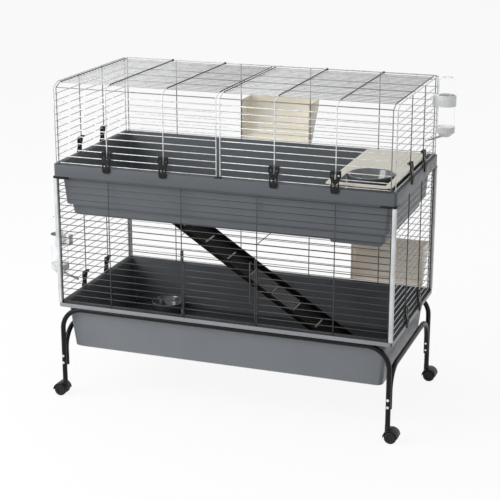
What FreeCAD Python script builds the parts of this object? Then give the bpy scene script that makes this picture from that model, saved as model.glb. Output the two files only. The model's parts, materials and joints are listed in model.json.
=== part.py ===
import FreeCAD, Part
import math
import os

V = FreeCAD.Vector

# Two-storey rabbit cage on a tubular stand. Millimetres, +X right, +Y to the rear, +Z up.
# The origin is on the floor, below the middle of the trays.

# Trays: outer rims, levels and walls
rim_length = 1180.0
rim_depth = 585.0
rim_corner = 14.0
rim_plate = 3.0
lower_lip_drop = 14.0
upper_lip_drop = 40.0
rim_lip_wall = 3.0
rim_rib = 4.0
tray_wall = 3.0
lower_rim_z = 344.0
lower_tray_depth = 170.0
lower_wall_inset = 22.0
lower_floor_inset = 38.0
lower_edge_round = 8.0
upper_wall_inset = 17.0
upper_step_inset = 28.0
upper_step_depth = 138.0
upper_step_width = 13.0
upper_floor_inset = 46.0
upper_tray_depth = 182.0
upper_edge_round = 8.0
sunk_end_depth = 10.0
sunk_edge_round = 9.0
sunk_end_length = 176.0
wall_corner = 15.0

# Wire panels
upright_wire = 3.2
cross_wire = 2.6
wire_pitch = 23.0
wire_rise = 6.0
wire_inset = 10.4
lower_top_gap = 2.5
roof_rise = 273.0
chamfer_height = 14.0
chamfer_depth = 32.0
post_size = 13.0
post_wall = 1.4
post_height = 440.0
cap_arm = 52.0
cap_arm_height = 8.0
cap_plug = 30.0
side_upright = 90.0
front_upright_outer = 392.0
front_upright_inner = 190.0
door_gap = 13.2
rear_upright_outer = 380.0
rear_upright_inner = 129.5
lower_upright_outer = 392.0
lower_upright_inner = 131.5
seat_gap = 0.3
cut_past = 1.0

# Lift-up doors
hinge_bar_r = 2.0
hinge_loop_wall = 2.0
hinge_loop_length = 6.0
door_edge_gap = 10.0
roof_rear_gap = 23.0

# Lower front door and its latch
door_rows = 10
door_sleeve_r = 4.0
door_sleeve_gap = 2.5
latch_wire = 4.0
latch_rows = 6
latch_inset = 22.0

# Clips over the rims
clip_row = 2
clip_width = 38.0
clip_wall = 4.0
clip_hook_r = 5.0
clip_slot = 6.0
clip_slot_depth = 22.0
clip_overlap = 15.0
clip_gap = 0.5
clip_top_gap = 1.0
clip_wire_gap = 0.1
clip_lean = 1.6
clip_shoulder = 0.84
clip_shoulder_drop = 6.0
clip_waist = ((0.95, -16.0), (0.66, -30.0), (0.74, -46.0))
clip_toe = (0.7, 0.5)
clip_toe_rise = 5.0
clip_eye_r = 6.5
clip_eye_place = 0.55
clip_eye_drop = 10.0
clip_hook_gap = 2.0

# Stand and castors
tube_r = 8.5
tube_bend = 75.0
tube_sides = 12
bend_steps = 5
bolt_sides = 8
leg_inset = 9.0
leg_end_z = 58.0
side_leg_end_z = 108.0
side_hoop_drop = 80.0
bolt_r = 2.5
bolt_head_r = 5.0
bolt_head = 3.0
nut_r = 4.0
bolt_rise = 14.0
bolt_pitch = 25.0
wheel_r = 21.0
wheel_width = 15.0
wheel_gap = 13.0
axle_r = 3.0
castor_trail = 13.0
hood_wall = 2.5
hood_gap = 1.5
hood_sides = 20
neck_r = 9.0
web_r = 9.5
wheel_bevel = 4.5
stem_r = 5.0
stem_length = 30.0
stem_room = 2.0
fit_gap = 0.06

# Ramp
ramp_width = 155.0
ramp_length = 836.0
ramp_wall = 4.0
ramp_rail = 12.0
ramp_rail_wall = 5.0
ramp_rail_start = 20.0
ramp_hinge_end = 284.0
ramp_hinge_drop = 9.0
ramp_rod_r = 3.0
ramp_ear = 5.0
ramp_ear_r = 8.0
ramp_ear_gap = 1.5
ramp_rod_end = 4.0
ramp_tongue = 25.0
ramp_rail_round = 7.0
tread_pitch = 96.0
tread_length = 80.0
tread_width = 6.0
tread_height = 3.0
hole_gap = 10.0
hole_length = 236.0
hole_width = 210.0

# Shelter, bowls, hay racks and bottles
shelter_wall = 3.0
shelter_right_gap = 64.0
shelter_length = 152.0
shelter_depth = 334.0
shelter_rear_gap = 66.5
shelter_rise = 10.0
shelter_round = 20.0
shelter_overhang = 24.0
shelter_right_overhang = 40.0
plate_corner = 19.0
plate_front_gap = 22.0
bay_front_rim = 32.0
room_rear_gap = 6.5
ledge_drop = 47.0
ledge_reach = 96.0
bay_r = 80.0
entrance_r = 52.0
entrance_spring = 46.0
big_bowl_r = 75.0
big_bowl_height = 60.0
small_bowl_r = 60.0
small_bowl_height = 48.0
bowl_wall = 3.0
bowl_foot = 0.78
bowl_rim = 6.0
bowl_roll = 2.0
small_bowl_end = 210.0
small_bowl_front = 462.5
rack_width = 262.0
rack_height = 142.0
rack_depth = 100.0
rack_foot = 18.0
rack_wall = 2.5
rack_flange = 9.0
rack_front_edge = 20.0
lower_rack_end = 170.0
bottle_r = 29.0
bottle_height = 200.0
bottle_wall = 1.2
bottle_shoulder = 12.0
bottle_base_r = 20.0
bottle_offset = 36.0
cap_r = 31.0
cap_height = 34.0
cap_nose = 14.0
cap_nose_r = 15.0
spout_r = 4.0
spout_reach = 60.0
spout_drop = 20.0
spout_inside = 24.0
bracket_height = 37.0
bracket_wall = 3.0
bracket_plate = 30.0
bracket_row_gap = 6
upper_bottle_rear = 66.5
lower_bottle_front = 92.5
spout_row = 2

# Planes and levels that follow from the sizes above
half_x = rim_length / 2
half_y = rim_depth / 2
cross_x = half_x - wire_inset
cross_y = half_y - wire_inset
wire_step = (upright_wire + cross_wire) / 2
upright_x = cross_x + wire_step
upright_y = cross_y + wire_step
post_x = half_x - post_size / 2
post_y = half_y - post_size / 2
leg_x = half_x - leg_inset
leg_y = half_y - leg_inset - bolt_head / 2
side_leg_y = leg_y - 2 * tube_r - seat_gap
tube_z = lower_rim_z - lower_lip_drop - tube_r
side_tube_z = tube_z - side_hoop_drop
lower_floor_z = lower_rim_z - lower_tray_depth + tray_wall
lower_top_z = lower_rim_z + post_height
upper_rim_z = lower_top_z + cap_arm_height + upper_lip_drop
upper_floor_z = upper_rim_z - upper_tray_depth + tray_wall
roof_z = upper_rim_z + roof_rise
roof_cross_z = roof_z - wire_step
chamfer_z = roof_z - chamfer_height
upper_span = roof_rise - chamfer_height - wire_rise
lower_span = post_height - lower_top_gap - wire_rise
upper_rows = round(upper_span / wire_pitch) + 1
lower_rows = round(lower_span / wire_pitch) + 1
row_pitch = {upper_rim_z: upper_span / (upper_rows - 1), lower_rim_z: lower_span / (lower_rows - 1)}
ramp_hinge_x = ramp_hinge_end - half_x
ramp_hinge_z = upper_floor_z - tray_wall - ramp_hinge_drop
hole_start = ramp_hinge_x + hole_gap
shelter_left = half_x - shelter_right_gap - shelter_length
shelter_rear = half_y - shelter_rear_gap
shelter_front = shelter_rear - shelter_depth
shelter_top_z = upper_rim_z + shelter_rise
ledge_z = upper_rim_z - ledge_drop
bay_x = shelter_left + (shelter_length + shelter_right_overhang / 2) / 2


def row_z(rim_z, row):
    return rim_z + wire_rise + row * row_pitch[rim_z]


def wire_corner(across):
    # How far a six-sided wire's corners reach from its axis
    return across / 2 / math.cos(math.pi / 6)


def box(x0, x1, y0, y1, z0, z1):
    return Part.makeBox(x1 - x0, y1 - y0, z1 - z0, V(x0, y0, z0))


def rod(start, end, radius):
    return Part.makeCylinder(radius, (end - start).Length, start, end - start)


def fuse(shapes):
    return shapes[0].fuse(shapes[1:]).removeSplitter()


def many_sided(start, axis, radius, sides):
    # A closed outline with flats square to X, Y or Z; radius reaches its corners
    across = V(0, 0, 1) if abs(axis.z) < 0.5 else V(0, 1, 0)
    beside = axis.cross(across).normalize()
    points = []
    for k in range(sides):
        turn = (k + 0.5) * 2 * math.pi / sides
        points.append(start + across * (radius * math.cos(turn)) + beside * (radius * math.sin(turn)))
    return Part.makePolygon(points + [points[0]])


def flat_bore(inner_r, sides):
    # Corner radius of a bore whose flats lie inner_r from its axis
    return inner_r / math.cos(math.pi / sides)


def bar(start, end, radius, sides):
    return Part.Face(many_sided(start, end - start, radius, sides)).extrude(end - start)


def ring(start, end, outer_r, inner_r, sides):
    return bar(start, end, outer_r, sides).cut(bar(start, end, flat_bore(inner_r, sides), sides))


def export(name, shapes):
    shape = shapes[0] if len(shapes) == 1 else Part.makeCompound(shapes)
    shape.exportStep(os.path.join("parts", name + ".step"))


def six_sided(centre, axis, flat, across):
    axis = V(axis).normalize()
    flat = V(flat).normalize()
    side = axis.cross(flat)
    corner_r = wire_corner(across)
    points = []
    for k in range(6):
        turn = math.pi / 6 + k * math.pi / 3
        points.append(centre + flat * (corner_r * math.cos(turn)) + side * (corner_r * math.sin(turn)))
    return Part.makePolygon(points + [points[0]])


def wire(points, flat, across):
    # One drawn wire with a six-sided section; its flats face the panel's own normal.
    section = six_sided(points[0], points[1] - points[0], flat, across)
    if len(points) == 2:
        return Part.Face(section).extrude(points[1] - points[0])
    return Part.makePolygon(points).makePipeShell([section], True, False, 1)


def rounded(half_a, half_b, corner, z):
    a = half_a - corner
    b = half_b - corner
    edges = []
    corners = [(a, b, 0), (-a, b, 90), (-a, -b, 180), (a, -b, 270)]
    for x, y, start in corners:
        circle = Part.Circle(V(x, y, z), V(0, 0, 1), corner)
        edges.append(Part.Arc(circle, math.radians(start), math.radians(start + 90)).toShape())
    ends = []
    for k in range(4):
        after = edges[(k + 1) % 4]
        start = edges[k].valueAt(edges[k].LastParameter)
        ends.append(Part.makeLine(start, after.valueAt(after.FirstParameter)))
    loop = []
    for k in range(4):
        loop.append(edges[k])
        loop.append(ends[k])
    return Part.Wire(loop)


def loft(sections):
    return Part.makeLoft(sections, True, True)


def tray_body(rim_z, lip_drop, levels):
    # levels: (height, inset of the outer wall), from the rim down to the floor
    outer = []
    inner = []
    for z, inset in levels:
        outer.append(rounded(half_x - inset, half_y - inset, wall_corner, z))
    inner_levels = levels[:-1] + [(levels[-1][0] + tray_wall, levels[-1][1])]
    for z, inset in inner_levels:
        inset = inset + tray_wall
        inner.append(rounded(half_x - inset, half_y - inset, wall_corner - tray_wall, z))
    plate = Part.Face(rounded(half_x, half_y, rim_corner, rim_z)).extrude(V(0, 0, -rim_plate))
    lip = Part.Face(rounded(half_x, half_y, rim_corner, rim_z)).extrude(V(0, 0, -lip_drop))
    lip_in = rounded(half_x - rim_lip_wall, half_y - rim_lip_wall, rim_corner - rim_lip_wall, rim_z)
    lip = lip.cut(Part.Face(lip_in).extrude(V(0, 0, -lip_drop)))
    return fuse([loft(outer), plate, lip]).cut(loft(inner))


def lower_tray():
    bottom = lower_rim_z - lower_tray_depth
    levels = [
        (lower_rim_z, lower_wall_inset),
        (bottom + lower_edge_round, lower_floor_inset),
        (bottom, lower_floor_inset + lower_edge_round),
    ]
    return fuse([tray_body(lower_rim_z, lower_lip_drop, levels)] + rim_ribs())


def rim_ribs():
    # Cross ribs between wall and lip, under the rim plate; the long sides' rest on the stand's hoops
    low = lower_rim_z - lower_lip_drop
    high = lower_rim_z - rim_plate
    half = rim_rib / 2
    ribs = []
    for side in (-1, 1):
        for x in mirrored([half_x * k / 4 for k in (1, 3)]):
            ends = sorted((side * (half_y - rim_lip_wall), side * (half_y - lower_wall_inset - tray_wall)))
            ribs.append(box(x - half, x + half, ends[0], ends[1], low, high))
        for y in mirrored([half_y / 3]):
            ends = sorted((side * (half_x - rim_lip_wall), side * (half_x - lower_wall_inset - tray_wall)))
            ribs.append(box(ends[0], ends[1], y - half, y + half, low, high))
    return ribs


def upper_tray():
    bottom = upper_rim_z - upper_tray_depth
    step_z = upper_rim_z - upper_step_depth
    ledge_inset = upper_step_inset + upper_step_width
    levels = [
        (upper_rim_z, upper_wall_inset),
        (step_z, upper_step_inset),
        (step_z - tray_wall, ledge_inset),
        (bottom + upper_edge_round, upper_floor_inset),
        (bottom, upper_floor_inset + upper_edge_round),
    ]
    tray = tray_body(upper_rim_z, upper_lip_drop, levels)
    end_x = half_x - upper_floor_inset - upper_edge_round
    end_y = half_y - upper_floor_inset - upper_edge_round
    start_x = end_x - sunk_end_length
    low = bottom - sunk_end_depth
    tub = box(start_x, end_x, -end_y, end_y, low, bottom)
    tub = tub.makeFillet(sunk_edge_round, [e for e in tub.Edges if e.CenterOfMass.z < low + tray_wall / 2])
    well = box(start_x + tray_wall, end_x - tray_wall, tray_wall - end_y, end_y - tray_wall,
               low + tray_wall, bottom + tray_wall)
    half_hole = hole_width / 2
    hole = box(hole_start, hole_start + hole_length, -half_hole, half_hole, low, bottom + 2 * tray_wall)
    tray = tray.fuse(tub).cut(well).cut(hole).removeSplitter()
    # One moulding, kept as four walls, four corners, the main floor and the sunk floor
    cut_x = end_x - wall_corner
    cut_y = end_y - wall_corner
    parts = [
        box(-half_x, start_x, -half_y, half_y, low, upper_floor_z),
        box(start_x, half_x, -half_y, half_y, low, upper_floor_z),
    ]
    for x0, x1 in ((-half_x, -cut_x), (-cut_x, cut_x), (cut_x, half_x)):
        for y0, y1 in ((-half_y, -cut_y), (-cut_y, cut_y), (cut_y, half_y)):
            parts.append(box(x0, x1, y0, y1, upper_floor_z, upper_rim_z))
    pieces = [tray.common(part) for part in parts]
    return [piece for piece in pieces if piece.Volume > 0]


def hoop(a, b, c, d, bend):
    # Inverted U of tube: legs a-b and c-d, top run b-c, with a stepped quarter bend at each corner
    up = (b - a).normalize()
    along = (c - b).normalize()
    path = [a]
    for corner, inward, order in ((b, along, 1), (c, along * -1, -1)):
        centre = corner - up * bend + inward * bend
        steps = []
        for k in range(bend_steps + 1):
            turn = math.pi / 2 * k / bend_steps
            steps.append(centre - inward * (bend * math.cos(turn)) + up * (bend * math.sin(turn)))
        path += steps[::order]
    path.append(d)
    section = many_sided(a, up, flat_bore(tube_r, tube_sides), tube_sides)
    return Part.makePolygon(path).makePipeShell([section], True, False, 1)


def bolt_places():
    places = []
    for x in (-leg_x, leg_x):
        for side in (-1, 1):
            for k in range(2):
                places.append((x, side, side_leg_end_z + bolt_rise + k * bolt_pitch))
    return places


def bolt_hole(x, side, z):
    start = V(x, side * (leg_y + tube_r + bolt_head), z)
    end = V(x, side * (side_leg_y - tube_r - bolt_head), z)
    return bar(start, end, flat_bore(bolt_r + fit_gap, bolt_sides), bolt_sides)


def leg_bolt(x, side, z):
    outer = side * (leg_y + tube_r)
    inner = side * (side_leg_y - tube_r)
    shank = bar(V(x, outer, z), V(x, inner, z), bolt_r, bolt_sides)
    head = bar(V(x, outer, z), V(x, outer + side * bolt_head, z), bolt_head_r, bolt_sides)
    nut = bar(V(x, inner, z), V(x, inner - side * bolt_head, z), nut_r, 6)
    return fuse([shank, head, nut])


def long_hoop(side):
    y = side * leg_y
    left = V(-leg_x, y, tube_z)
    right = V(leg_x, y, tube_z)
    tube = hoop(V(-leg_x, y, leg_end_z), left, right, V(leg_x, y, leg_end_z), tube_bend)
    for x in (-leg_x, leg_x):
        top = V(x, y, leg_end_z + stem_length + stem_room)
        tube = tube.cut(bar(V(x, y, leg_end_z), top, flat_bore(stem_r + fit_gap, tube_sides), tube_sides))
    for place in bolt_places():
        if place[1] == side:
            tube = tube.cut(bolt_hole(*place))
    return tube


def short_hoop(x):
    y = side_leg_y
    front = V(x, -y, side_tube_z)
    rear = V(x, y, side_tube_z)
    tube = hoop(V(x, -y, side_leg_end_z), front, rear, V(x, y, side_leg_end_z), tube_bend)
    for place in bolt_places():
        if place[0] == x:
            tube = tube.cut(bolt_hole(*place))
    return tube


def castor_frame(x, y):
    # Hood over twin wheels, a middle web with the axle bore, and a stem up into the leg
    ax = x + math.copysign(castor_trail, x)
    r_in = flat_bore(wheel_r + hood_gap, hood_sides)
    web = (wheel_gap - hood_gap) / 2
    half = wheel_gap / 2 + wheel_width + hood_gap
    left = V(ax, y - half, wheel_r)
    right = V(ax, y + half, wheel_r)
    hood = bar(left, right, r_in + hood_wall, hood_sides)
    hood = hood.cut(box(ax - 2 * r_in, ax + 2 * r_in, y - 2 * half, y + 2 * half, -r_in, wheel_r))
    web_body = bar(V(ax, y - web, wheel_r), V(ax, y + web, wheel_r), web_r, bolt_sides)
    neck = bar(V(x, y, wheel_r), V(x, y, leg_end_z - seat_gap), neck_r, tube_sides)
    body = fuse([hood, neck])
    for side in (-1, 1):
        start = V(ax, y + side * web, wheel_r)
        body = body.cut(bar(start, V(ax, y + side * 2 * half, wheel_r), r_in, hood_sides))
    stem = rod(V(x, y, leg_end_z - seat_gap), V(x, y, leg_end_z + stem_length), stem_r)
    bore = bar(left, right, flat_bore(axle_r + fit_gap, bolt_sides), bolt_sides)
    return fuse([body, web_body, stem]).cut(bore)


def castor_wheels(x, y):
    # Two bevelled wheels pressed on one axle
    ax = x + math.copysign(castor_trail, x)
    near = wheel_gap / 2
    far = near + wheel_width
    solids = [rod(V(ax, y - near, wheel_r), V(ax, y + near, wheel_r), axle_r)]
    for side in (-1, 1):
        outlines = []
        for reach, r in ((near, wheel_r), (far - wheel_bevel, wheel_r), (far, wheel_r - wheel_bevel)):
            corner_r = flat_bore(r, hood_sides)
            start = V(ax, y + side * reach, wheel_r)
            outlines.append(many_sided(start, V(0, side, 0), corner_r, hood_sides))
        solids.append(loft(outlines))
    return fuse(solids)


def corner_post(x, y):
    tube = box(x - post_size / 2, x + post_size / 2, y - post_size / 2, y + post_size / 2,
               lower_rim_z, lower_top_z)
    edges = [e for e in tube.Edges if abs(e.BoundBox.ZLength - post_height) < 0.01]
    tube = tube.makeChamfer(post_wall, edges)
    core = post_size / 2 - post_wall
    return tube.cut(box(x - core, x + core, y - core, y + core, lower_rim_z, lower_top_z))


def post_cap(x, y):
    # Black corner piece: a plug in the post, two arms under the upper rim's lip and a block up to its plate
    sx = math.copysign(1, x)
    sy = math.copysign(1, y)
    lip_z = upper_rim_z - upper_lip_drop - seat_gap
    plug = post_size / 2 - post_wall - fit_gap
    half = post_size / 2
    inner = rim_lip_wall + seat_gap
    block = rounded(half_x - inner, half_y - inner, rim_corner - inner, lip_z)
    block = Part.Face(block).extrude(V(0, 0, upper_rim_z - rim_plate - lip_z))
    ends_x = sorted((x - sx * half, x + sx * half))
    ends_y = sorted((y - sy * half, y + sy * half))
    block = block.common(box(*ends_x, *ends_y, lip_z, upper_rim_z))
    tail = box(x - plug, x + plug, y - plug, y + plug, lower_top_z - cap_plug, lower_top_z)
    arm_x = sorted((x - sx * (cap_arm - half), x + sx * half))
    arm_y = sorted((y - sy * (cap_arm - half), y + sy * half))
    along_x = box(*arm_x, *ends_y, lower_top_z, lip_z)
    along_y = box(*ends_x, *arm_y, lower_top_z, lip_z)
    return fuse([along_x, along_y, block, tail])


def flat_panel(rows, uprights, ends, plane, low_z, high_z, rim_z, along_x):
    # A flat grille: uprights outside, closely spaced cross wires behind them
    side = 1 if plane > 0 else -1
    normal = V(0, 1, 0) if along_x else V(1, 0, 0)

    def at(u, depth, z):
        return V(u, side * depth, z) if along_x else V(side * depth, u, z)

    outer = abs(plane)
    inner = outer - wire_step
    wires = []
    for row in rows:
        z = row_z(rim_z, row)
        wires.append(wire([at(ends[0], inner, z), at(ends[1], inner, z)], normal, cross_wire))
    for u in uprights:
        wires.append(wire([at(u, outer, low_z), at(u, outer, high_z)], normal, upright_wire))
    return wires


def mirrored(values):
    return [-v for v in values] + list(values)


def lower_front_panel():
    # Left and right of the door the rows stop at the uprights beside it, above it they run through
    end = post_x - post_size / 2
    stop = lower_upright_inner
    above = range(door_rows + 1, lower_rows)
    beside = range(door_rows + 1)
    top = lower_rim_z + post_height
    wires = flat_panel(above, mirrored([stop, lower_upright_outer, end - upright_wire]), (-end, end),
                       -upright_y, lower_rim_z, top, lower_rim_z, True)
    weld = upright_wire / 2
    wires += flat_panel(beside, [], (-end, -stop + weld), -upright_y, 0, 0, lower_rim_z, True)
    wires += flat_panel(beside, [], (stop - weld, end), -upright_y, 0, 0, lower_rim_z, True)
    return wires


def lower_rear_panel():
    end = post_x - post_size / 2
    uprights = mirrored([lower_upright_inner, lower_upright_outer, end - upright_wire])
    return flat_panel(range(lower_rows), uprights, (-end, end), upright_y, lower_rim_z,
                      lower_rim_z + post_height, lower_rim_z, True)


def lower_side_panel(side):
    end = post_y - post_size / 2
    uprights = mirrored([side_upright, end - upright_wire])
    return flat_panel(range(lower_rows), uprights, (-end, end), side * upright_x, lower_rim_z,
                      lower_rim_z + post_height, lower_rim_z, False)


def tray_supports():
    # Two wires from front to rear that lie on one row of the lower panels, beside its uprights
    under = upper_rim_z - upper_tray_depth - sunk_end_depth - cross_wire
    row = int((under - row_z(lower_rim_z, 0)) / row_pitch[lower_rim_z])
    z = row_z(lower_rim_z, row) + wire_corner(cross_wire) + cross_wire / 2
    wires = []
    for x in mirrored([lower_upright_inner + wire_step]):
        wires.append(wire([V(x, -cross_y, z), V(x, cross_y, z)], V(0, 0, 1), cross_wire))
    return wires


def upper_rear_panel():
    end = cross_x - cross_wire
    uprights = mirrored([rear_upright_inner, rear_upright_outer, end - upright_wire])
    wires = flat_panel(range(upper_rows), uprights, (-end, end), upright_y, upper_rim_z,
                       roof_z - hinge_bar_r, upper_rim_z, True)
    wires.append(rod(V(-end, upright_y, roof_z), V(end, upright_y, roof_z), hinge_bar_r))
    return wires


def upper_side_panel(side):
    # The rim wire of this panel runs up the front, over the sloped corner and along the top to the rear
    end = upright_y - upright_wire
    wires = flat_panel(range(upper_rows - 1), mirrored([side_upright]), (-end, end), side * upright_x,
                       upper_rim_z, roof_z - upright_wire / 2, upper_rim_z, False)
    x = side * upright_x
    front = -end + upright_wire
    rear = end - upright_wire
    rim = [V(x, front, upper_rim_z), V(x, front, chamfer_z), V(x, front + chamfer_depth, roof_z),
           V(x, rear, roof_z), V(x, rear, upper_rim_z)]
    wires.append(wire(rim, V(1, 0, 0), upright_wire))
    return wires


def door_uprights(side):
    outer = cross_x - door_edge_gap
    return [side * u for u in (door_gap / 2, front_upright_inner, front_upright_outer, outer)]


def door_front(side):
    uprights = door_uprights(side)
    ends = sorted((uprights[0], uprights[-1]))
    low = upper_rim_z + seat_gap
    wires = flat_panel(range(upper_rows), [], ends, -upright_y, 0, 0, upper_rim_z, True)
    for x in uprights:
        bend = [V(x, -upright_y, low), V(x, -upright_y, chamfer_z), V(x, chamfer_depth - upright_y, roof_z),
                V(x, chamfer_depth + upright_wire - upright_y, roof_z)]
        wires.append(wire(bend, V(0, 1, 0), upright_wire))
    return wires


def door_roof(side):
    # Lengthwise wires under the crossing ones; two of these end in loops round the hinge bar
    uprights = door_uprights(side)
    ends = sorted((uprights[0], uprights[-1]))
    front = chamfer_depth + upright_wire - upright_y
    rear = upright_y - roof_rear_gap
    wires = []
    count = int((rear - front) / wire_pitch)
    for k in range(count + 1):
        y = rear - k * wire_pitch
        line = [V(end, y, roof_cross_z) for end in ends[:2]]
        wires.append(wire(line, V(0, 0, 1), cross_wire))
    loop_in = hinge_bar_r + seat_gap
    loop_out = loop_in + hinge_loop_wall
    for x in uprights:
        looped = x in uprights[1:3]
        end = upright_y - loop_in - hinge_loop_wall / 2 if looped else rear + cross_wire
        strand = wire([V(x, front, roof_z), V(x, end, roof_z)], V(0, 0, 1), upright_wire)
        if looped:
            a = V(x - hinge_loop_length / 2, upright_y, roof_z)
            b = V(x + hinge_loop_length / 2, upright_y, roof_z)
            strand = strand.fuse(ring(a, b, loop_out, loop_in, bolt_sides))
        wires.append(strand)
    return wires


def lower_door():
    # Hangs on sleeves round the left upright; they sit between the rows of the fixed panel
    edge = lower_upright_inner - door_sleeve_r - upright_wire / 2
    low = row_z(lower_rim_z, 0) - cross_wire
    high = row_z(lower_rim_z, door_rows) + cross_wire
    wires = flat_panel(range(door_rows + 1), mirrored([edge]), (-edge, edge), -upright_y, low, high,
                       lower_rim_z, True)
    bore = wire_corner(upright_wire) + seat_gap
    for row in (0, door_rows - 2, door_rows - 1):
        z0 = row_z(lower_rim_z, row) + door_sleeve_gap
        z1 = row_z(lower_rim_z, row + 1) - door_sleeve_gap
        a = V(-lower_upright_inner, -upright_y, z0)
        b = V(-lower_upright_inner, -upright_y, z1)
        wires.append(bar(a, b, door_sleeve_r, tube_sides).cut(rod(a, b, bore)))
    return wires


def door_latch():
    # A staple of wire held in the door: its ends reach in between two rows, so it can be lifted
    x = lower_upright_inner - latch_inset
    y = -upright_y - upright_wire / 2 - latch_wire / 2 - seat_gap
    first = door_rows - 1 - latch_rows
    lift = wire_corner(cross_wire) + wire_corner(latch_wire) + seat_gap
    z0 = row_z(lower_rim_z, first) + lift
    z1 = row_z(lower_rim_z, first + latch_rows) + lift
    inward = -cross_y + cross_wire * 2
    points = [V(x, inward, z0), V(x, y, z0), V(x, y, z1), V(x, inward, z1)]
    return wire(points, V(1, 0, 0), latch_wire)


def clip_solid(rim_z):
    # Hung on a cross wire at the origin, front at -Y: bowed tongue, slot for the upright, two hooks
    drop = row_z(rim_z, clip_row) - rim_z + clip_overlap
    rim_face = wire_inset + clip_gap
    top = clip_hook_r - clip_top_gap
    inside = wire_step + upright_wire / 2 + clip_wire_gap
    bow = drop - clip_overlap - wire_rise / 2
    face = [(-inside, top), (-inside - clip_lean, -clip_slot_depth), (-rim_face, -bow), (-rim_face, -drop)]
    back = [(y - clip_wall, z) for y, z in reversed(face)]
    points = [V(0, y, z) for y, z in face + back]
    plate = Part.Face(Part.makePolygon(points + [points[0]])).extrude(V(clip_width, 0, 0))
    plate.translate(V(-clip_width / 2, 0, 0))
    w = clip_width / 2
    s = clip_slot / 2
    right = [(s, -clip_slot_depth), (s, top), (w * clip_shoulder, top), (w, top - clip_shoulder_drop)]
    right += [(w * share, z) for share, z in clip_waist]
    right += [(w * clip_toe[0], clip_toe_rise - drop), (w * clip_toe[1], -drop)]
    outline = right + [(-x, z) for x, z in reversed(right)]
    points = [V(x, 0, z) for x, z in outline]
    depth = inside + clip_lean + rim_face
    cutter = Part.Face(Part.makePolygon(points + [points[0]])).extrude(V(0, -depth, 0))
    clip = plate.common(cutter)
    for side in (-1, 1):
        centre = V(side * w * clip_eye_place, 0, -clip_eye_drop)
        hole = Part.Face(six_sided(centre, V(0, -1, 0), V(1, 0, 0), clip_eye_r)).extrude(V(0, -depth, 0))
        clip = clip.cut(hole)
    hooks = []
    for side in (-1, 1):
        a = V(side * (s + clip_hook_gap), 0, 0)
        b = V(side * w * clip_shoulder, 0, 0)
        hook = ring(a, b, clip_hook_r, wire_corner(cross_wire) + seat_gap, bolt_sides)
        hooks.append(hook.cut(box(-w, w, 0, clip_hook_r, -clip_hook_r, 0)))
    return fuse([clip] + hooks)


def clip_at(x, y, rim_z, turn):
    clip = clip_solid(rim_z)
    clip.rotate(V(0, 0, 0), V(0, 0, 1), turn)
    clip.translate(V(x, y, row_z(rim_z, clip_row)))
    return clip


def ramp_parts():
    # Built level from its hinge rod, then tilted until its far end stands on the lower floor
    hinge_z = ramp_hinge_z
    fall = hinge_z - lower_floor_z - ramp_wall - seat_gap
    tilt = math.degrees(math.asin(fall / ramp_length))
    half = ramp_width / 2
    start = ramp_rod_r + ramp_ear_gap
    deck = box(start, ramp_length, -half, half, -ramp_wall, 0)
    tongue = box(0, ramp_tongue, -half + ramp_rail_wall, half - ramp_rail_wall, -ramp_wall, 0)
    solids = [deck, tongue]
    for side in (-1, 1):
        y0 = side * half - (ramp_rail_wall if side > 0 else 0)
        rail = box(ramp_rail_start, ramp_length, y0, y0 + ramp_rail_wall, -ramp_wall, ramp_rail)
        ends = [e for e in rail.Edges if e.BoundBox.YLength > 1 and e.CenterOfMass.z > 0]
        solids.append(rail.makeFillet(ramp_rail_round, ends))
    rod_half = half + ramp_ear + ramp_rod_end
    hinge = rod(V(0, -rod_half, 0), V(0, rod_half, 0), ramp_rod_r)
    ramp = fuse(solids + [hinge])
    treads = []
    count = int((ramp_length - tread_pitch / 2) / tread_pitch)
    for k in range(count):
        s = tread_pitch * (k + 1)
        treads.append(box(s, s + tread_width, -tread_length / 2, tread_length / 2, 0, tread_height))
    for shape in [ramp] + treads:
        shape.rotate(V(0, 0, 0), V(0, 1, 0), tilt)
        shape.translate(V(ramp_hinge_x, 0, hinge_z))
    return ramp, treads


def ramp_ears():
    # Two hanging ears under the upper floor, bored for the ramp's rod
    hinge_z = ramp_hinge_z
    ears = []
    for side in (-1, 1):
        start = V(ramp_hinge_x, side * (ramp_width / 2 + ramp_ear_gap), hinge_z)
        end = start + V(0, side * ramp_ear, 0)
        round_end = bar(start, end, flat_bore(ramp_ear_r, tube_sides), tube_sides)
        low, high = sorted((start.y, end.y))
        neck = box(ramp_hinge_x - ramp_ear_r, ramp_hinge_x + ramp_ear_r, low, high,
                   hinge_z, upper_floor_z - tray_wall)
        bore = bar(start, end, flat_bore(ramp_rod_r + fit_gap, tube_sides), tube_sides)
        ears.append(fuse([round_end, neck]).cut(bore))
    return ears


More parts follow.
